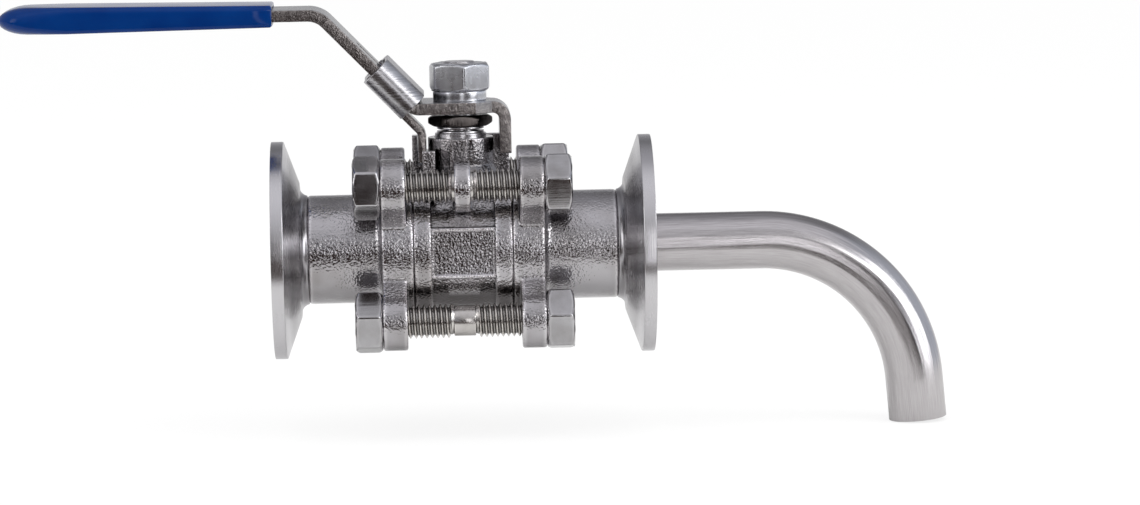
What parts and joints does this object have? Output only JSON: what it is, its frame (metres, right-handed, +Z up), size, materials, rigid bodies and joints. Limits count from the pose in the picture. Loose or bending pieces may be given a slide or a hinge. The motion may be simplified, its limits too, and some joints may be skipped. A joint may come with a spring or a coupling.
{
  "type": "sanitary ball valve",
  "caption": "Bolted sanitary ball valve with clamp ferrule ends, a sliding-lock lever handle in a soft grip and a bent outlet spout.",
  "frame": {"origin": "centre of the inlet ferrule's face, on the flow axis", "axes": "+X along the flow out of the valve, +Z up along the stem, +Y to the rear, where the lever swings when the valve closes"},
  "size_m": [0.2182, 0.0506, 0.1014],
  "materials": {
    "cast_steel": "fine blasted casting, lightly polished",
    "turned_steel": "satin turned",
    "polished_tube": "polished stainless",
    "fastener_steel": "bright cold formed",
    "lever_steel": "pressed sheet, satin",
    "white_plastic": "smooth fluoropolymer",
    "blue_vinyl": "dipped soft vinyl"
  },
  "bodies": {
    "valve": {"body": "cast_steel", "inlet_cap": "cast_steel", "outlet_cap": "cast_steel", "inlet_ferrule": "turned_steel", "outlet_ferrule": "turned_steel", "spout": "polished_tube", "inlet_seat": "white_plastic", "outlet_seat": "white_plastic", "inlet_seal": "white_plastic", "outlet_seal": "white_plastic", "tie_studs": "fastener_steel", "inlet_nuts": "fastener_steel", "outlet_nuts": "fastener_steel", "thrust_washer": "white_plastic", "stem_packing": "white_plastic", "gland_ring": "turned_steel"},
    "handle": {"ball": "polished_tube", "stem": "turned_steel", "disc_springs": "turned_steel", "gland_nut": "fastener_steel", "lever": "lever_steel", "grip": "blue_vinyl", "spring_washer": "fastener_steel", "lever_nut": "fastener_steel"},
    "lock": {"lock_sleeve": "lever_steel", "lock_tongue": "lever_steel", "lock_rivet": "lever_steel"}
  },
  "joints": [
    {"name": "handle_turn", "type": "hinge", "parent": "valve", "child": "handle", "pos_m": [0.044, 0, 0.03], "axis": [0, 0, 1], "range_deg": [-90, 0]},
    {"name": "lock_slide", "type": "slide", "parent": "handle", "child": "lock", "axis": [-0.6947, 0, 0.7193], "range_m": [0, 0.008]}
  ]
}
